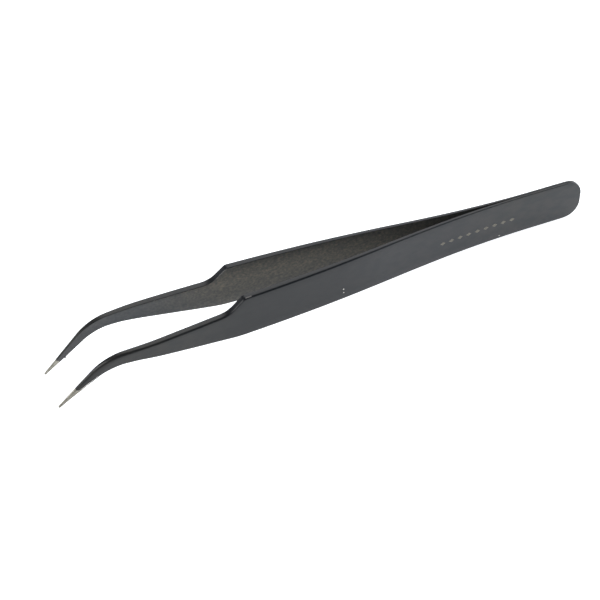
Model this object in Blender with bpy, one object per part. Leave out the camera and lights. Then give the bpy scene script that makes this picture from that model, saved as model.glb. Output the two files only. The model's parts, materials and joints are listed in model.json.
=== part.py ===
"""Curved fine-point tweezers: two mirrored spring-steel blades, spot-welded together at the tail.

Frame: metres, +Z up, +X towards the tail, origin at the bottom centre of the bounding box.
The tweezers stand on the narrow edges of their blades, as they do when they are put down: on the two
points and on the lower edge of the tail. The near blade is on the -Y side and the far one on +Y.

Each blade is one strip of steel. It is divided at its flexure, where the thin strip bends when the
tweezers are squeezed, because each side of a joint has to be a rigid piece. Its bare ground point is
a piece of its own because it has a finish of its own.
"""
import math

import bmesh
import bpy
import numpy as np
from mathutils import Matrix, Vector

MM = 0.001

# Driving dimensions, in millimetres. Distances run from the tail end towards the points.
LENGTH = 118.2
TAIL_ROUND_LENGTH = 4.6
TAIL_ROUND_POWER = 2.7
WELD_ZONE_LENGTH = 12.0
FLEXURE_AT = 28.0
FLEXURE_GAP = 0.08
POINT_GAP = 0.04

# The blade as seen from the side. Heights are above the middle of the tail's width.
# The spine runs straight to the bend, turns down round an arc and runs straight to the point.
SPINE_HEIGHT = -0.8
BEND_START = 103.8
BEND_RADIUS = 10.0
BEND_ANGLE = math.radians(39.5)

# Corners of the upper and lower edges: (distance along the spine, height over the spine, fillet radius).
# The upper edge steps down at the shoulder; the lower edge rises smoothly to the neck.
UPPER_EDGE = [(0.0, 5.48, 0), (45.0, 5.69, 400), (79.0, 5.42, 1.3), (82.4, 2.46, 5.0), (104.0, 1.28, 40)]
LOWER_EDGE = [(0.0, -3.87, 0), (60.0, -4.02, 400), (80.5, -4.12, 26), (101.5, -1.36, 20),
              (108.0, -1.22, 30)]
POINT_HALF_WIDTH = 0.24
POINT_ROUND = 0.25

# The blade as seen from above: outer face's distance from the centre plane, and the strip's thickness,
# each as (distance from the tail end, value).
BOW = [(12.0, 0.51), (20.0, 0.67), (30.0, 1.24), (40.0, 2.22), (50.0, 3.38), (60.0, 4.40), (70.0, 5.12),
       (84.0, 5.84), (92.0, 6.31), (98.5, 6.57), (106.0, 6.28), (118.0, 5.12)]
THICKNESS = [(12.0, 0.48), (30.0, 0.68), (50.0, 0.90), (66.0, 1.20), (102.0, 1.28), (110.0, 1.02),
             (118.0, 0.45)]

EDGE_ROUND = 0.14
EDGE_ROUND_SHARE = 0.42
EDGE_ROUND_STEPS = 2
SHARP_ANGLE = math.radians(50)

# Spacing of the cross-sections along the spine.
STATION_STEP = 1.6
FINE_STATION_STEP = 0.7
SHOULDER_START = 76.0
TAIL_STATIONS = 7
POINT_STATIONS = 4
STATION_CLEARANCE = 0.02

# Bare steel starts this far along the spine on each blade: the coating has worn further back on the near one.
NEAR_BARE_START = 114.6
FAR_BARE_START = 117.0

# Spot welds between the blades, inside the tail.
WELD_POSITIONS = {"spot_weld_rear": 4.5, "spot_weld_front": 9.0}
WELD_RADIUS = 1.25
WELD_HALF_THICKNESS = 0.14
WELD_POCKET_CLEARANCE = 0.04

MATERIALS = {
    "blade_coating": {"colour": (0.075, 0.080, 0.090, 1), "metallic": 0.0, "roughness": 0.45},
    "bare_steel": {"colour": (0.55, 0.53, 0.50, 1), "metallic": 1.0, "roughness": 0.35},
    "weld_steel": {"colour": (0.38, 0.37, 0.36, 1), "metallic": 1.0, "roughness": 0.6},
}


def clear_scene():
    for obj in list(bpy.data.objects):
        bpy.data.objects.remove(obj, do_unlink=True)


def new_collection(name):
    collection = bpy.data.collections.new(name)
    bpy.context.scene.collection.children.link(collection)
    return collection


def make_material(name):
    look = MATERIALS[name]
    material = bpy.data.materials.new(name)
    material.use_nodes = True
    shader = material.node_tree.nodes["Principled BSDF"]
    shader.inputs["Base Color"].default_value = look["colour"]
    shader.inputs["Metallic"].default_value = look["metallic"]
    shader.inputs["Roughness"].default_value = look["roughness"]
    return material


def add_empty(name, collection, parent=None, location=(0, 0, 0)):
    empty = bpy.data.objects.new(name, None)
    empty.empty_display_size = 5 * MM
    collection.objects.link(empty)
    empty.parent = parent
    empty.location = location
    return empty


def smooth_through(knots):
    """A smooth function through (distance, value) knots, level before the first one."""
    at = np.array([k[0] for k in knots])
    value = np.array([k[1] for k in knots])
    slope = np.gradient(value, at)
    slope[0] = 0.0

    def evaluate(d):
        if d <= at[0]:
            return float(value[0])
        i = min(int(np.searchsorted(at, d)), len(at) - 1)
        span = at[i] - at[i - 1]
        t = (d - at[i - 1]) / span
        start = value[i - 1] * (1 + 2 * t) * (1 - t) ** 2 + slope[i - 1] * span * t * (1 - t) ** 2
        return float(start + value[i] * t * t * (3 - 2 * t) + slope[i] * span * t * t * (t - 1))

    return evaluate


outer_offset = smooth_through(BOW)
strip_thickness = smooth_through(THICKNESS)


def spine_length():
    """Length of the spine from the tail end to the point, for the overall length wanted."""
    bend_end_x = BEND_START + BEND_RADIUS * math.sin(BEND_ANGLE)
    return BEND_START + BEND_RADIUS * BEND_ANGLE + (LENGTH - bend_end_x) / math.cos(BEND_ANGLE)


SPINE_LENGTH = spine_length()


def spine_at(s):
    """Distance from the tail, height and direction angle of the spine at the length s along it."""
    if s <= BEND_START:
        return s, SPINE_HEIGHT, 0.0
    angle = min((s - BEND_START) / BEND_RADIUS, BEND_ANGLE)
    d = BEND_START + BEND_RADIUS * math.sin(angle)
    h = SPINE_HEIGHT - BEND_RADIUS * (1 - math.cos(angle))
    straight = max(0.0, s - BEND_START - BEND_RADIUS * BEND_ANGLE)
    return d + straight * math.cos(angle), h - straight * math.sin(angle), angle


def filleted_edge(corners, steps=8):
    """A polyline through the corners, with each inner corner rounded to its fillet radius."""
    points = [Vector(corners[0][:2])]
    for before, corner, after in zip(corners, corners[1:], corners[2:]):
        middle = Vector(corner[:2])
        back = (Vector(before[:2]) - middle).normalized()
        ahead = (Vector(after[:2]) - middle).normalized()
        half_angle = back.angle(ahead) / 2
        reach = corner[2] / math.tan(half_angle)
        centre = middle + (back + ahead).normalized() * corner[2] / math.sin(half_angle)
        start = middle + back * reach - centre
        sweep = start.angle_signed(middle + ahead * reach - centre)
        points += [centre + Matrix.Rotation(-sweep * k / steps, 2) @ start for k in range(steps + 1)]
    points.append(Vector(corners[-1][:2]))
    return points


UPPER_POINTS = filleted_edge(UPPER_EDGE + [(SPINE_LENGTH, POINT_HALF_WIDTH, 0)])
LOWER_POINTS = filleted_edge(LOWER_EDGE + [(SPINE_LENGTH, -POINT_HALF_WIDTH, 0)])


def edge_height(points, s):
    return float(np.interp(s, [p.x for p in points], [p.y for p in points]))


def end_share(along, round_length, power):
    """Share of the full width that is left this far from a rounded end."""
    if along >= round_length:
        return 1.0
    return (1 - (1 - along / round_length) ** power) ** (1 / power)


def section(s):
    """One cross-section of the near blade, as a ring of (-distance, sideways, height) points."""
    d, h, angle = spine_at(s)
    upper = edge_height(UPPER_POINTS, s)
    lower = edge_height(LOWER_POINTS, s)
    tail_share = end_share(max(s, 0.02), TAIL_ROUND_LENGTH, TAIL_ROUND_POWER)
    point_share = end_share(max(SPINE_LENGTH - s, 0.02), POINT_ROUND, 2)
    middle = (upper + lower) / 2
    half_width = (upper - lower) / 2 * tail_share * point_share
    half_thick = strip_thickness(d) / 2 * point_share
    centre = outer_offset(d) - strip_thickness(d) / 2
    corner = min(EDGE_ROUND, EDGE_ROUND_SHARE * 2 * min(half_width, half_thick))
    ring = []
    for quarter, (side_v, side_t) in enumerate([(1, 1), (-1, 1), (-1, -1), (1, -1)]):
        for step in range(EDGE_ROUND_STEPS + 1):
            turn = math.pi / 2 * (quarter + step / EDGE_ROUND_STEPS)
            v = middle + side_v * (half_width - corner) + corner * math.cos(turn)
            t = side_t * (half_thick - corner) + corner * math.sin(turn)
            ring.append((v, t))
    return [(-(d + v * math.sin(angle)), -(centre + t), h + v * math.cos(angle)) for v, t in ring]


def stations(start, end):
    """Places of the cross-sections between two lengths along the spine, closer where the shape turns."""
    marks = {start, end, WELD_ZONE_LENGTH}
    tail_turns = [math.pi / 2 * k / TAIL_STATIONS for k in range(TAIL_STATIONS)]
    marks.update(TAIL_ROUND_LENGTH * (1 - math.cos(turn)) for turn in tail_turns)
    marks.update(np.arange(TAIL_ROUND_LENGTH, SHOULDER_START, STATION_STEP))
    marks.update(np.arange(SHOULDER_START, SPINE_LENGTH - POINT_ROUND, FINE_STATION_STEP))
    point_turns = [math.pi / 2 * k / POINT_STATIONS for k in range(POINT_STATIONS)]
    marks.update(SPINE_LENGTH - POINT_ROUND * math.cos(turn) for turn in point_turns)
    marks.add(SPINE_LENGTH)
    chosen = []
    for mark in sorted(marks):
        inside = start <= mark <= end
        if inside and (mark in (start, end) or min(mark - start, end - mark) > STATION_CLEARANCE):
            chosen.append(mark)
    return chosen


def loft(name, rings, side):
    """A closed solid through a row of rings with equal numbers of points; side -1 is near, +1 is far."""
    bm = bmesh.new()
    loops = [[bm.verts.new((x * MM, -side * y * MM, z * MM)) for x, y, z in ring] for ring in rings]
    for here, there in zip(loops, loops[1:]):
        for k in range(len(here)):
            following = (k + 1) % len(here)
            bm.faces.new((here[k], there[k], there[following], here[following]))
    bm.faces.new(loops[0])
    bm.faces.new(loops[-1])
    bmesh.ops.recalc_face_normals(bm, faces=bm.faces)
    mesh = bpy.data.meshes.new(name)
    bm.to_mesh(mesh)
    bm.free()
    mesh.shade_smooth()
    mesh.set_sharp_from_angle(angle=SHARP_ANGLE)
    return mesh


def add_part(name, mesh, material, collection, parent):
    """Link a part whose mesh is in blade coordinates, with its origin at its parent empty."""
    obj = bpy.data.objects.new(name, mesh)
    collection.objects.link(obj)
    mesh.materials.append(material)
    mesh.transform(Matrix.Translation(-parent.location))
    obj.parent = parent
    return obj


def add_blade(side_name, side, bare_start, frame, collection, materials):
    """One blade: its welded tail, and its arm and bare point, which turn about the flexure."""
    pieces = {
        "blade_tail": (0.0, FLEXURE_AT - FLEXURE_GAP / 2, "blade_coating"),
        "blade_arm": (FLEXURE_AT + FLEXURE_GAP / 2, bare_start - POINT_GAP / 2, "blade_coating"),
        "point": (bare_start + POINT_GAP / 2, SPINE_LENGTH, "bare_steel"),
    }
    middle = outer_offset(FLEXURE_AT) - strip_thickness(FLEXURE_AT) / 2
    hinge = Vector((-FLEXURE_AT, side * middle, 0)) * MM
    flexure = add_empty(side_name + "_flexure", collection, frame, hinge)
    parts = {}
    for piece, (start, end, material) in pieces.items():
        name = side_name + "_" + piece
        mesh = loft(name, [section(s) for s in stations(start, end)], side)
        if piece == "blade_tail":
            parts[piece] = add_part(name, mesh, materials[material], collection, frame)
        else:
            parts[piece] = add_part(name, mesh, materials[material], collection, flexure)
    return parts


def add_disc(name, distance, radius, half_thickness, collection, parent):
    """A disc between the blades, its axis across them."""
    bm = bmesh.new()
    bmesh.ops.create_cone(bm, cap_ends=True, segments=24, radius1=radius * MM, radius2=radius * MM,
                          depth=2 * half_thickness * MM)
    mesh = bpy.data.meshes.new(name)
    bm.to_mesh(mesh)
    bm.free()
    obj = bpy.data.objects.new(name, mesh)
    collection.objects.link(obj)
    obj.parent = parent
    obj.location = (-distance * MM, 0, 0)
    obj.rotation_euler = (math.pi / 2, 0, 0)
    return obj


def add_spot_weld(name, distance, tails, frame, collection, cutters, material):
    """A weld nugget in shallow pockets in the facing sides of the two blade tails."""
    nugget = add_disc(name, distance, WELD_RADIUS, WELD_HALF_THICKNESS, collection, frame)
    nugget.data.materials.append(material)
    pocket = add_disc(name + "_pocket", distance, WELD_RADIUS + WELD_POCKET_CLEARANCE,
                      WELD_HALF_THICKNESS + WELD_POCKET_CLEARANCE, cutters, frame)
    pocket.hide_render = True
    pocket.display_type = "WIRE"
    for tail in tails:
        cut = tail.modifiers.new("pocket for " + name, "BOOLEAN")
        cut.operation = "DIFFERENCE"
        cut.solver = "EXACT"
        cut.object = pocket


def resting_tilt(outline):
    """Angle that lowers the point end until it and the tail's lower edge both touch a table.

    The outline is a list of (distance from the tail, height). The line from the lowest point of the
    tip touches the tail where its slope is least.
    """
    tip_distance, tip_height = min(outline, key=lambda p: p[1])
    tail = [p for p in outline if p[0] < LENGTH / 2]
    return min(math.atan2(h - tip_height, tip_distance - d) for d, h in tail)


def set_down(frame, objects):
    """Tilt the tweezers onto their resting contacts and centre the bounding box over the origin."""
    outline = [(-x, z) for s in stations(0.0, SPINE_LENGTH) for x, _, z in section(s)]
    frame.rotation_euler = (0, resting_tilt(outline), 0)
    bpy.context.view_layer.update()
    points = [obj.matrix_world @ v.co for obj in objects for v in obj.data.vertices]
    low = [min(p[axis] for p in points) for axis in range(3)]
    high = [max(p[axis] for p in points) for axis in range(3)]
    frame.location = (-(low[0] + high[0]) / 2, -(low[1] + high[1]) / 2, -low[2])
    bpy.context.view_layer.update()


def main():
    clear_scene()
    collection = new_collection("curved_tweezers")
    cutters = new_collection("cutters")
    materials = {name: make_material(name) for name in MATERIALS}
    frame = add_empty("blade_frame", collection)
    near = add_blade("near", -1, NEAR_BARE_START, frame, collection, materials)
    far = add_blade("far", 1, FAR_BARE_START, frame, collection, materials)
    tails = [near["blade_tail"], far["blade_tail"]]
    for name, distance in WELD_POSITIONS.items():
        add_spot_weld(name, distance, tails, frame, collection, cutters, materials["weld_steel"])
    set_down(frame, list(near.values()) + list(far.values()))


main()
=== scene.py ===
"""Looks of the curved fine-point tweezers: coated spring blades, bare ground points, floor, lights, camera.

The scene is in metres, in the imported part's frame. Lengths named _MM are millimetres in the blade's own
coordinates: distance from the tail end, offset sideways from the centre plane, and height above the middle
of the tail's width. Side -1 is the near blade and side +1 the far one.
"""
import json
import math

import bmesh
import bpy
import numpy as np
from mathutils import Matrix, Vector, noise


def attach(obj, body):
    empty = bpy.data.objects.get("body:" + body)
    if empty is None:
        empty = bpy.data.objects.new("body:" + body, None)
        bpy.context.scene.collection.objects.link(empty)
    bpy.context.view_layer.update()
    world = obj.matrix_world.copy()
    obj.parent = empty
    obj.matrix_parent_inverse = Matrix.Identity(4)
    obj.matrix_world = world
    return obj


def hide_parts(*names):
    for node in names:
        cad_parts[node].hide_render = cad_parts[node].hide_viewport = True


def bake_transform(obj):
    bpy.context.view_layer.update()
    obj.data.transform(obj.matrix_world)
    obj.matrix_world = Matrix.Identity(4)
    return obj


MM = 0.001

# The blade's outline, the same as in the CAD design: corners of the two edges as (distance along the spine,
# height over the spine, fillet radius), and (distance from the tail, value) for the bow and the thickness.
LENGTH_MM = 118.2
TAIL_ROUND_LENGTH_MM = 4.6
TAIL_ROUND_POWER = 2.7
FLEXURE_AT_MM = 28.0
SPINE_HEIGHT_MM = -0.8
BEND_START_MM = 103.8
BEND_RADIUS_MM = 10.0
BEND_ANGLE = math.radians(39.5)
UPPER_EDGE = [(0.0, 5.48, 0), (45.0, 5.69, 400), (79.0, 5.42, 1.3), (82.4, 2.46, 5.0), (104.0, 1.28, 40)]
LOWER_EDGE = [(0.0, -3.87, 0), (60.0, -4.02, 400), (80.5, -4.12, 26), (101.5, -1.36, 20), (108.0, -1.22, 30)]
POINT_HALF_WIDTH_MM = 0.24
POINT_ROUND_MM = 0.25
BOW = [(12.0, 0.51), (20.0, 0.67), (30.0, 1.24), (40.0, 2.22), (50.0, 3.38), (60.0, 4.40), (70.0, 5.12),
       (84.0, 5.84), (92.0, 6.31), (98.5, 6.57), (106.0, 6.28), (118.0, 5.12)]
THICKNESS = [(12.0, 0.48), (30.0, 0.68), (50.0, 0.90), (66.0, 1.20), (102.0, 1.28), (110.0, 1.02),
             (118.0, 0.45)]

# Radii of the section's four corners: (distance along the spine, radius). The points are ground rounder.
CORNERS = {
    "upper_outer": [(0.0, 0.11), (30.0, 0.20), (60.0, 0.30), (98.0, 0.32), (118.0, 0.30)],
    "lower_outer": [(0.0, 0.13), (60.0, 0.16), (98.0, 0.20), (106.0, 0.24), (111.0, 0.38), (118.0, 0.30)],
    "lower_inner": [(0.0, 0.08), (60.0, 0.12), (104.0, 0.14), (118.0, 0.12)],
    "upper_inner": [(0.0, 0.03), (30.0, 0.08), (60.0, 0.12), (80.0, 0.10), (104.0, 0.09), (118.0, 0.12)],
}
# The blades were finished by hand: the upper outer corner is rounder on the near blade than on the far one.
CORNER_AMOUNT = {-1: 1.25, 1: 0.5}
# Towards the points the upper outer corner is ground into an oval, again less on the far blade: (distance
# along the spine, share of the full grind). A full grind reaches GROUND_REACH half sizes into the section.
GROUND_SHARE = [(101.0, 0.0), (106.0, 0.3), (111.5, 1.0), (122.0, 1.0)]
GROUND_AMOUNT = {-1: 1.0, 1: 0.3}
GROUND_REACH = 1.6
# No corner's radius takes more than this share of the section's smaller half size.
CORNER_LIMIT = 0.96
# The tail's end is rounded over this width all round its rim.
TAIL_RIM_MM = 0.12

# Points of a ring: along each rounded corner, and along the flat sides and narrow edges between them.
CORNER_STEPS = 5
FACE_STEPS = 6
EDGE_STEPS = 2
# Spacing of the rings on the springing part, the shoulder and the neck, and of the closest ones.
BLADE_SPACING_MM = 0.9
SHOULDER_SPACING_MM = 0.16
NECK_SPACING_MM = 0.3
LEAST_SPACING_MM = 0.012
SHOULDER_MM = (76.0, 86.0)
# Rings in the tail's rim, the rounded tail and the rounded tip.
RIM_RINGS = 5
TAIL_RINGS = 22
TIP_RINGS = 8
# The section never shrinks to nothing at the rounded ends.
LEAST_HALF_SIZE_MM = 0.01

# The coating lies over steel that starts this far under it. Its end wanders round the blade: each list is
# (place from the lower edge at -1 to the upper edge at +1, distance along the spine) on the visible face.
COATING_MM = 0.022
STEEL_OVERLAP_MM = 8.0
COATING_FADE_MM = 8.0
NEAR_COATING_END = [(-1.0, 110.4), (-0.5, 110.8), (-0.3, 111.5), (-0.1, 112.7), (0.2, 114.4), (0.6, 115.8),
                    (1.0, 116.2)]
NEAR_HIDDEN_END_MM = 115.8
FAR_COATING_END = [(-1.0, 117.1), (0.0, 117.0), (1.0, 117.3)]
FAR_HIDDEN_END_MM = 117.1
# The line wanders by RAGGED_MM, with this noise frequency across and through the blade. It changes from the
# visible face's end to the hidden one's the more sharply, the higher the falloff.
RAGGED_MM = 0.22
RAGGED_ACROSS = 2.3
RAGGED_THROUGH = 4.6
RAGGED_SEED = 5.0
HIDDEN_FALLOFF = 60

# Small marks on the outer face of the near blade: (distance from the tail, height, radius).
CHIPS = [(57.2, -2.2, 0.15), (57.15, -3.15, 0.13), (19.4, -4.0, 0.13)]
CHIP_SIDES = 7
CHIP_UNEVENNESS = 0.3

# A run of coating that stands out from the far point's lower inner corner: (place on the spine, radius).
COATING_DRIP = (115.7, 0.22)
# Where that corner starts in the ring: past two rounded corners, the outer face and the lower edge.
LOWER_INNER_CORNER = 2 * (CORNER_STEPS + 1) + FACE_STEPS + EDGE_STEPS - 2
# Painted glints, lighter strips where light catches the rounded corners: (side, first and last face round the
# ring, distances along the spine between which it shows).
GLINT_CORNERS = [(-1, 0, 1, 77.4, 78.7), (1, 31, 32, 78.8, 81.4), (1, 0, 1, 78.9, 81.6),
                (1, 31, 32, 93.8, 94.2)]
# Material slots of a coated blade.
OUTER_SLOT, INNER_SLOT, CHIP_SLOT, MARKING_SLOT, GLINT_SLOT = range(5)
# A face counts as inner when its normal's sideways share is beyond this.
INNER_NORMAL = -0.95

MARK_LIFT_MM = 0.006
MARK_DEPTH_MM = 0.03
LOZENGE_ROW_MM = (16.6, 33.4)
LOZENGE_COUNT = 9
LOZENGE_HEIGHT_MM = -0.6
LOZENGE_SIZE_MM = (1.3, 0.9)

WELD_NODES = ["spot_weld_rear", "spot_weld_front"]
# Noise cells per metre on the welds.
WELD_GRAIN = 2500.0

# Camera: seen from the near side and a little from the points' end, from above.
CAMERA_AZIMUTH = math.radians(-20.2)
CAMERA_ELEVATION = math.radians(44.25)
CAMERA_ROLL = math.radians(-4.43)
CAMERA_DISTANCE = 0.3009
CAMERA_TARGET = Vector((-0.0064, -0.00109, 0.00282))
CAMERA_LENS_MM = 88.81
SENSOR_MM = 36.0

# Lights: (name, location, diameter, watts), all aimed at the tweezers.
SOFTBOXES = [("left_softbox", (-1.0, -0.1, 0.75), 0.8, 9.0), ("right_softbox", (1.0, 0.2, 0.75), 0.8, 9.0),
             ("back_softbox", (0.34, 0.95, 0.98), 1.15, 5.4)]
FLOOR_SIZE = 6.0
FLOOR_GLOW = 0.95
FLOOR_TINT = (0.97, 1.005, 1.03, 1)
# The pale horizon stands higher behind the tweezers than in front of them.
HORIZON_LEAN = math.radians(20)
HORIZON_TOP = 0.02
HORIZON_COLOUR = (0.75, 0.75, 0.77, 1)
CEILING_START = 0.22
CEILING_COLOUR = (0.10, 0.102, 0.108, 1)


def smooth_through(knots):
    """A smooth function through (distance, value) knots, level before the first one."""
    at = np.array([k[0] for k in knots])
    value = np.array([k[1] for k in knots])
    slope = np.gradient(value, at)
    slope[0] = 0.0

    def evaluate(d):
        if d <= at[0]:
            return float(value[0])
        i = min(int(np.searchsorted(at, d)), len(at) - 1)
        span = at[i] - at[i - 1]
        t = (d - at[i - 1]) / span
        start = value[i - 1] * (1 + 2 * t) * (1 - t) ** 2 + slope[i - 1] * span * t * (1 - t) ** 2
        return float(start + value[i] * t * t * (3 - 2 * t) + slope[i] * span * t * t * (t - 1))

    return evaluate


outer_offset = smooth_through(BOW)
strip_thickness = smooth_through(THICKNESS)


def spine_length():
    """Length of the spine from the tail end to the point, in millimetres."""
    bend_end = BEND_START_MM + BEND_RADIUS_MM * math.sin(BEND_ANGLE)
    return BEND_START_MM + BEND_RADIUS_MM * BEND_ANGLE + (LENGTH_MM - bend_end) / math.cos(BEND_ANGLE)


SPINE_LENGTH_MM = spine_length()


def spine_at(s):
    """Distance from the tail, height and direction angle of the spine at the length s along it."""
    if s <= BEND_START_MM:
        return s, SPINE_HEIGHT_MM, 0.0
    angle = min((s - BEND_START_MM) / BEND_RADIUS_MM, BEND_ANGLE)
    d = BEND_START_MM + BEND_RADIUS_MM * math.sin(angle)
    h = SPINE_HEIGHT_MM - BEND_RADIUS_MM * (1 - math.cos(angle))
    straight = max(0.0, s - BEND_START_MM - BEND_RADIUS_MM * BEND_ANGLE)
    return d + straight * math.cos(angle), h - straight * math.sin(angle), angle


def filleted_edge(corners, steps=24):
    """Distances and heights of a polyline through the corners, with its inner corners rounded."""
    points = [Vector(corners[0][:2])]
    for before, corner, after in zip(corners, corners[1:], corners[2:]):
        middle = Vector(corner[:2])
        back = (Vector(before[:2]) - middle).normalized()
        ahead = (Vector(after[:2]) - middle).normalized()
        half_angle = back.angle(ahead) / 2
        reach = corner[2] / math.tan(half_angle)
        centre = middle + (back + ahead).normalized() * corner[2] / math.sin(half_angle)
        start = middle + back * reach - centre
        sweep = start.angle_signed(middle + ahead * reach - centre)
        points += [centre + Matrix.Rotation(-sweep * k / steps, 2) @ start for k in range(steps + 1)]
    points.append(Vector(corners[-1][:2]))
    return [p.x for p in points], [p.y for p in points]


UPPER = filleted_edge(UPPER_EDGE + [(SPINE_LENGTH_MM, POINT_HALF_WIDTH_MM, 0)])
LOWER = filleted_edge(LOWER_EDGE + [(SPINE_LENGTH_MM, -POINT_HALF_WIDTH_MM, 0)])


def value_at(s, table):
    """Value in a list of (place, value) pairs, straight between them."""
    return float(np.interp(s, [row[0] for row in table], [row[1] for row in table]))


def end_share(along, round_length, power):
    """Share of the full width that is left this far from a rounded end."""
    if along >= round_length:
        return 1.0
    return (1 - (1 - max(along, 0.0) / round_length) ** power) ** (1 / power)


def section_box(s, shrink=0.0):
    """Middle height, sideways centre, half width and half thickness of the section at s."""
    d, _, _ = spine_at(s)
    upper = float(np.interp(s, *UPPER))
    lower = float(np.interp(s, *LOWER))
    tail_share = end_share(s + LEAST_HALF_SIZE_MM, TAIL_ROUND_LENGTH_MM, TAIL_ROUND_POWER)
    point_share = end_share(SPINE_LENGTH_MM - s + LEAST_HALF_SIZE_MM, POINT_ROUND_MM, 2)
    rim = TAIL_RIM_MM * (1 - end_share(s, TAIL_RIM_MM, 2))
    half_width = max((upper - lower) / 2 * tail_share * point_share - shrink - rim, LEAST_HALF_SIZE_MM)
    half_thick = max(strip_thickness(d) / 2 * point_share - shrink - rim, LEAST_HALF_SIZE_MM)
    return (upper + lower) / 2, outer_offset(d) - strip_thickness(d) / 2, half_width, half_thick


def section(s, side, shrink=0.0):
    """Ring of (height across the spine, sideways) points; shrink pulls the skin in.

    The ring starts at the upper edge, turns down the outer face and comes back up the inner one.
    A ground corner is an oval, tall up the blade and deep through it.
    """
    middle, centre, half_width, half_thick = section_box(s, shrink)
    ground = {"upper_outer": value_at(s, GROUND_SHARE) * GROUND_AMOUNT[side]}
    amount = {"upper_outer": CORNER_AMOUNT[side]}
    order = [("upper_outer", 1, 1), ("lower_outer", -1, 1), ("lower_inner", -1, -1), ("upper_inner", 1, -1)]
    ring = []
    for quarter, (name, side_v, side_t) in enumerate(order):
        limit = CORNER_LIMIT * min(half_width, half_thick)
        r = min(value_at(s, CORNERS[name]) * amount.get(name, 1.0), limit)
        share = ground.get(name, 0.0)
        tall = r + share * (GROUND_REACH * half_width - r)
        deep = r + share * (GROUND_REACH * half_thick - r)
        corner = []
        for step in range(CORNER_STEPS + 1):
            turn = math.pi / 2 * (quarter + step / CORNER_STEPS)
            corner.append(Vector((middle + side_v * (half_width - tall) + tall * math.cos(turn),
                                  centre + side_t * (half_thick - deep) + deep * math.sin(turn))))
        if ring:
            ring += between(ring[-1], corner[0], FACE_STEPS if quarter in (1, 3) else EDGE_STEPS)
        ring += corner
    return ring + between(ring[-1], ring[0], EDGE_STEPS)


def between(start, end, steps):
    """The inner points of a straight side cut into steps."""
    return [start + (end - start) * k / steps for k in range(1, steps)]


def to_blade(s, point):
    """A point of the section at s, in blade coordinates: (x, sideways, height) in millimetres."""
    d, h, angle = spine_at(s)
    return Vector((-(d + point.x * math.sin(angle)), point.y, h + point.x * math.cos(angle)))


def blade_frame(frame):
    """Matrix from blade coordinates in metres to the part's frame, read from the far blade's hinge."""
    joint = next(j for j in frame["joints"] if j["child"] == "far_arm")
    z = Vector(joint["axis"]).normalized()
    y = Vector((0, 1, 0))
    hinge = Vector((-FLEXURE_AT_MM, outer_offset(FLEXURE_AT_MM) - strip_thickness(FLEXURE_AT_MM) / 2, 0)) * MM
    turn = Matrix((y.cross(z), y, z)).transposed()
    return Matrix.Translation(Vector(joint["pos_m"]) - turn @ hinge) @ turn.to_4x4()


def round_marks(length, count):
    """Distances from a rounded end, closest at the end itself."""
    return [length * (1 - math.cos(math.pi / 2 * k / count)) for k in range(count + 1)]


def stations(start, end):
    """Places of the cross-sections, closer at the rounded tail, the shoulder and the point."""
    marks = {start, end}
    marks.update(round_marks(TAIL_RIM_MM, RIM_RINGS))
    marks.update(round_marks(TAIL_ROUND_LENGTH_MM, TAIL_RINGS))
    marks.update(np.arange(TAIL_ROUND_LENGTH_MM, SHOULDER_MM[0], BLADE_SPACING_MM))
    marks.update(np.arange(*SHOULDER_MM, SHOULDER_SPACING_MM))
    marks.update(np.arange(SHOULDER_MM[1], SPINE_LENGTH_MM - POINT_ROUND_MM, NECK_SPACING_MM))
    marks.update(SPINE_LENGTH_MM - mark for mark in round_marks(POINT_ROUND_MM, TIP_RINGS))
    inside = [m for m in sorted(marks) if start <= m <= end]
    chosen = [inside[0]]
    for mark in inside[1:]:
        if mark - chosen[-1] > LEAST_SPACING_MM:
            chosen.append(mark)
    return chosen


def coating_end(s, point, end_line, hidden_end, side):
    """How far along the spine the coating reaches at this place of the section's ring."""
    middle, centre, half_width, half_thick = section_box(s)
    across = (point.x - middle) / half_width
    visible = (((point.y - centre) / half_thick * -side + 1) / 2) ** HIDDEN_FALLOFF
    wander = RAGGED_MM * noise.noise(Vector((across * RAGGED_ACROSS, visible * RAGGED_THROUGH,
                                             RAGGED_SEED + side)))
    return value_at(across, end_line) * visible + hidden_end * (1 - visible) + wander


def coated_rings(places, end_line, hidden_end, side):
    """Rings of the coated strip, the last ones pulled along so that they end on the coating's ragged line."""
    last = places[-1]
    rings = []
    for s in places:
        ring = section(s, side)
        rings.append([to_blade(s, p) for p in ring])
        share = max(0.0, 1 - (last - s) / COATING_FADE_MM)
        if share > 0:
            ends = [coating_end(s, p, end_line, hidden_end, side) for p in ring]
            shifted = [s + share * (end - last) for end in ends]
            rings[-1] = [to_blade(at, section(at, side)[k]) for k, at in enumerate(shifted)]
            lip = [to_blade(at, section(at, side, 2 * COATING_MM)[k]) for k, at in enumerate(shifted)]
    return rings + [lip]


def add_ring_skin(bm, rings):
    """Closed skin through rings with equal numbers of points; returns its strips of faces between rings."""
    loops = [[bm.verts.new(p) for p in ring] for ring in rings]
    strips = []
    for here, there in zip(loops, loops[1:]):
        corners = zip(here, there, there[1:] + there[:1], here[1:] + here[:1])
        strips.append([bm.faces.new(quad) for quad in corners])
    bm.faces.new(loops[0])
    bm.faces.new(loops[-1])
    return strips


def add_mark(bm, outline, slot):
    """A thin flat mark on the outer face; the outline is a list of (distance from the tail, height)."""
    top = [bm.verts.new((-d, outer_offset(d) + MARK_LIFT_MM, h)) for d, h in outline]
    bottom = [bm.verts.new((-d, outer_offset(d) - MARK_DEPTH_MM, h)) for d, h in outline]
    faces = [bm.faces.new(top), bm.faces.new(bottom)]
    for k in range(len(outline)):
        following = (k + 1) % len(outline)
        faces.append(bm.faces.new((top[k], top[following], bottom[following], bottom[k])))
    for face in faces:
        face.material_index = slot


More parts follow.
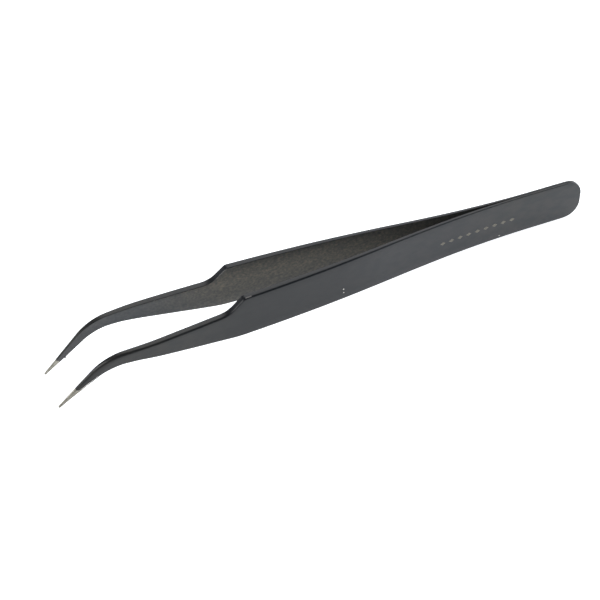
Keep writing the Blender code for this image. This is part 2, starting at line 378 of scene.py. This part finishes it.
def chip_outline(distance, height, radius):
    """The uneven outline of a fleck."""
    outline = []
    for k in range(CHIP_SIDES):
        turn = 2 * math.pi * k / CHIP_SIDES
        reach = radius * (1 + CHIP_UNEVENNESS * noise.noise(Vector((distance + k, height, 0.5))))
        outline.append((distance + reach * math.cos(turn), height + reach * math.sin(turn)))
    return outline


def lozenge_outline(distance):
    """A plain lozenge of the row on the near blade's tail."""
    half_length, half_height = (size / 2 for size in LOZENGE_SIZE_MM)
    return [(distance - half_length, LOZENGE_HEIGHT_MM), (distance, LOZENGE_HEIGHT_MM + half_height),
            (distance + half_length, LOZENGE_HEIGHT_MM), (distance, LOZENGE_HEIGHT_MM - half_height)]


def make_object(name, bm, side, place, materials):
    """Turn a mesh in blade millimetres into an object; each vertex keeps its blade coordinates."""
    layer = bm.verts.layers.float_vector.new("blade_mm")
    for vert in bm.verts:
        vert[layer] = vert.co
        vert.co = Vector((vert.co.x, side * vert.co.y, vert.co.z)) * MM
    bmesh.ops.recalc_face_normals(bm, faces=bm.faces)
    for face in bm.faces:
        face.smooth = face.material_index not in (CHIP_SLOT, MARKING_SLOT)
    mesh = bpy.data.meshes.new(name)
    bm.to_mesh(mesh)
    bm.free()
    mesh.transform(place)
    for material in materials:
        mesh.materials.append(material)
    obj = bpy.data.objects.new(name, mesh)
    bpy.context.scene.collection.objects.link(obj)
    return obj


def add_coated_blade(name, side, end_line, hidden_end, place, materials):
    """The coated strip from the tail to the coating's end, with the inner face in its own finish."""
    bm = bmesh.new()
    places = stations(0.0, max(end for _, end in end_line))
    strips = add_ring_skin(bm, coated_rings(places, end_line, hidden_end, side))
    bmesh.ops.recalc_face_normals(bm, faces=bm.faces)
    for face in bm.faces:
        face.material_index = INNER_SLOT if face.normal.y < INNER_NORMAL else OUTER_SLOT
    # Faces of the painted glints on the corners take the lighter glint finish.
    for glint_side, first, last, start, end in GLINT_CORNERS:
        glint_strips = [strip for s, strip in zip(places, strips) if glint_side == side and start <= s <= end]
        for strip in glint_strips:
            for face in strip[first:last + 1]:
                face.material_index = GLINT_SLOT
    if side > 0:
        at, radius = COATING_DRIP
        corner = to_blade(at, section(at, side)[LOWER_INNER_CORNER])
        bmesh.ops.create_icosphere(bm, subdivisions=2, radius=radius, matrix=Matrix.Translation(corner))
    else:
        for chip in CHIPS:
            add_mark(bm, chip_outline(*chip), CHIP_SLOT)
        for distance in np.linspace(*LOZENGE_ROW_MM, LOZENGE_COUNT):
            add_mark(bm, lozenge_outline(distance), MARKING_SLOT)
    return make_object(name, bm, side, place, materials)


def add_point(name, side, start, place, steel):
    """The steel under the coating's end and beyond it, down to the fine point."""
    bm = bmesh.new()
    rings = [[to_blade(s, p) for p in section(s, side, COATING_MM)] for s in stations(start, SPINE_LENGTH_MM)]
    add_ring_skin(bm, rings)
    return make_object(name, bm, side, place, [steel])


def make_principled(name, colour, roughness, metallic=0.0, specular=0.5):
    material = bpy.data.materials.new(name)
    material.use_nodes = True
    shader = material.node_tree.nodes["Principled BSDF"]
    shader.inputs["Base Color"].default_value = (*colour, 1)
    shader.inputs["Roughness"].default_value = roughness
    shader.inputs["Metallic"].default_value = metallic
    shader.inputs["Specular IOR Level"].default_value = specular
    return material


def blade_noise(material, size, detail):
    """Noise that stays on the surface; size is the grain in millimetres along, across and up the blade."""
    nodes = material.node_tree.nodes
    links = material.node_tree.links
    place = nodes.new("ShaderNodeAttribute")
    place.attribute_name = "blade_mm"
    scale = nodes.new("ShaderNodeMapping")
    scale.inputs["Scale"].default_value = [1 / length for length in size]
    grain = nodes.new("ShaderNodeTexNoise")
    grain.inputs["Scale"].default_value = 1.0
    grain.inputs["Detail"].default_value = detail
    links.new(place.outputs["Vector"], scale.inputs["Vector"])
    links.new(scale.outputs["Vector"], grain.inputs["Vector"])
    return grain.outputs["Fac"]


def colour_by(material, factor, stops):
    """Colour output for a factor, through (position, colour) stops."""
    nodes = material.node_tree.nodes
    ramp = nodes.new("ShaderNodeValToRGB")
    elements = ramp.color_ramp.elements
    while len(elements) < len(stops):
        elements.new(0.5)
    for element, (position, colour) in zip(elements, stops):
        element.position = position
        element.color = (*colour, 1)
    material.node_tree.links.new(factor, ramp.inputs["Fac"])
    return ramp.outputs["Color"]


def set_base_colour(material, colour):
    """Drive the shader's base colour by a colour output."""
    material.node_tree.links.new(colour, material.node_tree.nodes["Principled BSDF"].inputs["Base Color"])


def share_between(material, axis, start_mm, end_mm):
    """Factor that rises from 0 to 1 between two places on an axis of the blade's coordinates."""
    nodes = material.node_tree.nodes
    links = material.node_tree.links
    place = nodes.new("ShaderNodeAttribute")
    place.attribute_name = "blade_mm"
    parts = nodes.new("ShaderNodeSeparateXYZ")
    span = nodes.new("ShaderNodeMapRange")
    span.inputs["From Min"].default_value = start_mm
    span.inputs["From Max"].default_value = end_mm
    links.new(place.outputs["Vector"], parts.inputs["Vector"])
    links.new(parts.outputs[axis], span.inputs["Value"])
    return span.outputs["Result"]


def blend_colours(material, factor, first, second):
    """Colour that goes from the first to the second as the factor rises."""
    mix = material.node_tree.nodes.new("ShaderNodeMix")
    mix.data_type = "RGBA"
    material.node_tree.links.new(factor, mix.inputs["Factor"])
    material.node_tree.links.new(first, mix.inputs["A"])
    material.node_tree.links.new(second, mix.inputs["B"])
    return mix.outputs["Result"]


def darken_by(material, colour, shade):
    """The product of two colours."""
    mix = material.node_tree.nodes.new("ShaderNodeMix")
    mix.data_type = "RGBA"
    mix.blend_type = "MULTIPLY"
    mix.inputs["Factor"].default_value = 1.0
    material.node_tree.links.new(colour, mix.inputs["A"])
    material.node_tree.links.new(shade, mix.inputs["B"])
    return mix.outputs["Result"]


def bump_by(material, factor, height_mm, strength):
    """Raise the surface where the factor is high."""
    nodes = material.node_tree.nodes
    bump = nodes.new("ShaderNodeBump")
    bump.inputs["Strength"].default_value = strength
    bump.inputs["Distance"].default_value = height_mm * MM
    material.node_tree.links.new(factor, bump.inputs["Height"])
    material.node_tree.links.new(bump.outputs["Normal"], nodes["Principled BSDF"].inputs["Normal"])


def make_outer_coating():
    """Blue-grey satin black, with faint clouds and a fine orange peel; it is palest at the tail and darkest
    between the middle and the shoulder.
    """
    material = make_principled("satin_black_coating", (0.018, 0.020, 0.023), 0.31, specular=0.40)
    clouds = colour_by(material, blade_noise(material, (3.0, 3.0, 1.6), 5.0),
                       [(0.36, (0.018, 0.023, 0.030)), (0.64, (0.032, 0.033, 0.038))])
    tone_along_blade = colour_by(material, share_between(material, "X", 0.0, -120.0),
                     [(0.04, (1.0, 0.98, 0.92)), (0.15, (1.0, 0.96, 0.86)), (0.27, (0.70, 0.70, 0.72)),
                      (0.40, (0.66, 0.66, 0.68)), (0.48, (0.25, 0.28, 0.33)), (0.66, (0.22, 0.25, 0.28)),
                      (0.76, (0.55, 0.52, 0.45)), (1.0, (0.62, 0.55, 0.42))])
    set_base_colour(material, darken_by(material, clouds, tone_along_blade))
    bump_by(material, blade_noise(material, (0.35, 0.35, 0.35), 2.0), 0.02, 0.12)
    return material


def make_inner_coating():
    """The same coating on the rougher inner faces, where it looks olive and speckled; painted shade darkens
    it towards the tail, and painted light and shade change it up its height.
    """
    material = make_principled("rough_inner_coating", (0.08, 0.076, 0.068), 0.62, specular=0.35)
    grain = blade_noise(material, (0.55, 0.45, 0.45), 4.0)
    olive = colour_by(material, grain, [(0.3, (0.092, 0.096, 0.092)), (0.52, (0.147, 0.140, 0.125)),
                                        (0.75, (0.232, 0.204, 0.166))])
    # Painted shade: darker tones towards the tail, where the blades close in and little light reaches the
    # inner face.
    painted_shade_tones = colour_by(material, grain, [(0.3, (0.052, 0.057, 0.056)), (0.75, (0.118, 0.112, 0.098))])
    grey = colour_by(material, grain, [(0.3, (0.078, 0.084, 0.090)), (0.75, (0.112, 0.118, 0.126))])
    rear = blend_colours(material, share_between(material, "X", -28.0, -58.0), painted_shade_tones, olive)
    pale = colour_by(material, grain, [(0.3, (0.120, 0.116, 0.118)), (0.75, (0.165, 0.160, 0.162))])
    front = blend_colours(material, share_between(material, "X", -103.0, -114.0), grey, pale)
    along = blend_colours(material, share_between(material, "X", -80.0, -98.0), rear, front)
    # Painted light and shade up the blade's height: darker low and high on the face, lightest just above the
    # middle.
    painted_height_shade = colour_by(material, share_between(material, "Z", -5.0, 5.0),
                    [(0.0, (0.52, 0.53, 0.55)), (0.28, (0.55, 0.56, 0.57)), (0.60, (1.0, 0.99, 0.96)),
                     (0.78, (0.97, 0.97, 0.96)), (0.98, (0.68, 0.72, 0.74))])
    set_base_colour(material, darken_by(material, along, painted_height_shade))
    bump_by(material, blade_noise(material, (0.22, 0.22, 0.22), 3.0), 0.03, 0.3)
    return material


def make_steel():
    """Bare steel ground along the blade: fresh near the coating, darker and duller towards the point."""
    material = make_principled("bare_ground_steel", (0.40, 0.385, 0.35), 0.38, metallic=1.0)
    grain = blade_noise(material, (2.5, 0.14, 0.14), 4.0)
    fresh = colour_by(material, grain, [(0.25, (0.45, 0.36, 0.31)), (0.45, (0.76, 0.75, 0.73))])
    dull = colour_by(material, grain, [(0.3, (0.15, 0.143, 0.118)), (0.55, (0.26, 0.25, 0.215)),
                                       (0.8, (0.42, 0.405, 0.37))])
    towards_tip = share_between(material, "X", -112.3, -113.6)
    set_base_colour(material, blend_colours(material, towards_tip, fresh, dull))
    bump_by(material, blade_noise(material, (1.5, 0.08, 0.08), 3.0), 0.02, 0.3)
    return material


def make_speckled(name, dark, light, roughness, metallic=0.0):
    """A finish for small places, between a dark and a light tone in a fine grain."""
    material = make_principled(name, light, roughness, metallic)
    grain = blade_noise(material, (0.3, 0.3, 0.3), 3.0)
    set_base_colour(material, colour_by(material, grain, [(0.35, dark), (0.65, light)]))
    return material


def finish_welds():
    """The spot welds stay as the CAD has them, in dull fused steel."""
    material = make_principled("fused_steel", (0.12, 0.115, 0.11), 0.55, metallic=1.0)
    nodes = material.node_tree.nodes
    grain = nodes.new("ShaderNodeTexNoise")
    grain.inputs["Scale"].default_value = WELD_GRAIN
    set_base_colour(material, colour_by(material, grain.outputs["Fac"],
                                        [(0.35, (0.09, 0.086, 0.083)), (0.65, (0.17, 0.163, 0.155))]))
    for name in WELD_NODES:
        bpy.data.objects[name].active_material = material


def add_blades(frame):
    """Both blades: the coated strip, which spans the tail and the arm, and its steel point."""
    place = blade_frame(frame)
    materials = [make_outer_coating(), make_inner_coating(),
                 make_speckled("chipped_steel", (0.55, 0.53, 0.49), (0.66, 0.64, 0.60), 0.45, metallic=1.0),
                 make_speckled("pale_marking", (0.13, 0.120, 0.10), (0.21, 0.196, 0.16), 0.6),
                 # Painted glint: a lighter finish for the corners where light catches them.
                 make_speckled("painted_glint_corner", (0.12, 0.118, 0.115), (0.21, 0.206, 0.20), 0.4, metallic=0.3)]
    steel = make_steel()
    ends = {"near": (-1, NEAR_COATING_END, NEAR_HIDDEN_END_MM),
            "far": (1, FAR_COATING_END, FAR_HIDDEN_END_MM)}
    for side_name, (side, end_line, hidden_end) in ends.items():
        arm = side_name + "_arm"
        blade = add_coated_blade(side_name + "_blade", side, end_line, hidden_end, place, materials)
        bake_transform(blade)
        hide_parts(side_name + "_blade_tail", side_name + "_blade_arm")
        point = add_point(side_name + "_steel_point", side, hidden_end - STEEL_OVERLAP_MM, place, steel)
        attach(point, arm)
        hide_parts(side_name + "_point")


def add_floor():
    bpy.ops.mesh.primitive_plane_add(size=FLOOR_SIZE, location=(0, 0, 0))
    floor = bpy.context.object
    floor.name = "floor"
    material = make_principled("pale_floor", (0.8, 0.8, 0.8), 0.9)
    shader = material.node_tree.nodes["Principled BSDF"]
    shader.inputs["Emission Color"].default_value = FLOOR_TINT
    shader.inputs["Emission Strength"].default_value = FLOOR_GLOW
    floor.data.materials.append(material)


def add_softbox(name, location, diameter, watts):
    light = bpy.data.lights.new(name, "AREA")
    light.shape = "DISK"
    light.size = diameter
    light.energy = watts
    lamp = bpy.data.objects.new(name, light)
    bpy.context.scene.collection.objects.link(lamp)
    lamp.location = location
    lamp.rotation_euler = (-Vector(location)).to_track_quat("-Z", "Y").to_euler()


def add_world():
    """Dim air above a pale horizon, so that the coating's corners mirror something dark."""
    world = bpy.data.worlds.new("studio")
    bpy.context.scene.world = world
    world.use_nodes = True
    nodes = world.node_tree.nodes
    links = world.node_tree.links
    direction = nodes.new("ShaderNodeTexCoord")
    lean = nodes.new("ShaderNodeMapping")
    lean.inputs["Rotation"].default_value = (-HORIZON_LEAN, 0, 0)
    height = nodes.new("ShaderNodeSeparateXYZ")
    ramp = nodes.new("ShaderNodeValToRGB")
    links.new(direction.outputs["Generated"], lean.inputs["Vector"])
    links.new(lean.outputs["Vector"], height.inputs["Vector"])
    links.new(height.outputs["Z"], ramp.inputs["Fac"])
    links.new(ramp.outputs["Color"], nodes["Background"].inputs["Color"])
    horizon, ceiling = ramp.color_ramp.elements
    horizon.position = HORIZON_TOP
    horizon.color = HORIZON_COLOUR
    ceiling.position = CEILING_START
    ceiling.color = CEILING_COLOUR


def add_camera():
    camera_data = bpy.data.cameras.new("camera")
    camera_data.lens = CAMERA_LENS_MM
    camera_data.sensor_width = SENSOR_MM
    camera_data.clip_start = 0.01
    camera = bpy.data.objects.new("camera", camera_data)
    bpy.context.scene.collection.objects.link(camera)
    back = Vector((math.sin(CAMERA_AZIMUTH) * math.cos(CAMERA_ELEVATION),
                   -math.cos(CAMERA_AZIMUTH) * math.cos(CAMERA_ELEVATION), math.sin(CAMERA_ELEVATION)))
    level = back.to_track_quat("Z", "Y").to_matrix().to_4x4()
    roll = Matrix.Rotation(CAMERA_ROLL, 4, "Z")
    camera.matrix_world = Matrix.Translation(CAMERA_TARGET + back * CAMERA_DISTANCE) @ level @ roll
    bpy.context.scene.camera = camera


def add_scene(frame):
    """The visible pieces, their floor, the lights and the camera."""
    add_blades(frame)
    finish_welds()
    add_floor()
    for softbox in SOFTBOXES:
        add_softbox(*softbox)
    add_world()
    add_camera()
    bpy.context.scene.view_settings.view_transform = "Standard"


with open("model.json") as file:
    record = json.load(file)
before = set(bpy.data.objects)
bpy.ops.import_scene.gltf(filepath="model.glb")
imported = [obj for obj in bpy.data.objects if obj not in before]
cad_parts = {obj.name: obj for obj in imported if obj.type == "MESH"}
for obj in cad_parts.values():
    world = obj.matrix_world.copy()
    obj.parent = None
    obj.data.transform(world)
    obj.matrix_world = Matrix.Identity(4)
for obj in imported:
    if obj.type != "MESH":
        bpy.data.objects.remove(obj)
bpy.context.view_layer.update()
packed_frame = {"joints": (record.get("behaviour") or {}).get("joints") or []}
add_scene(packed_frame)
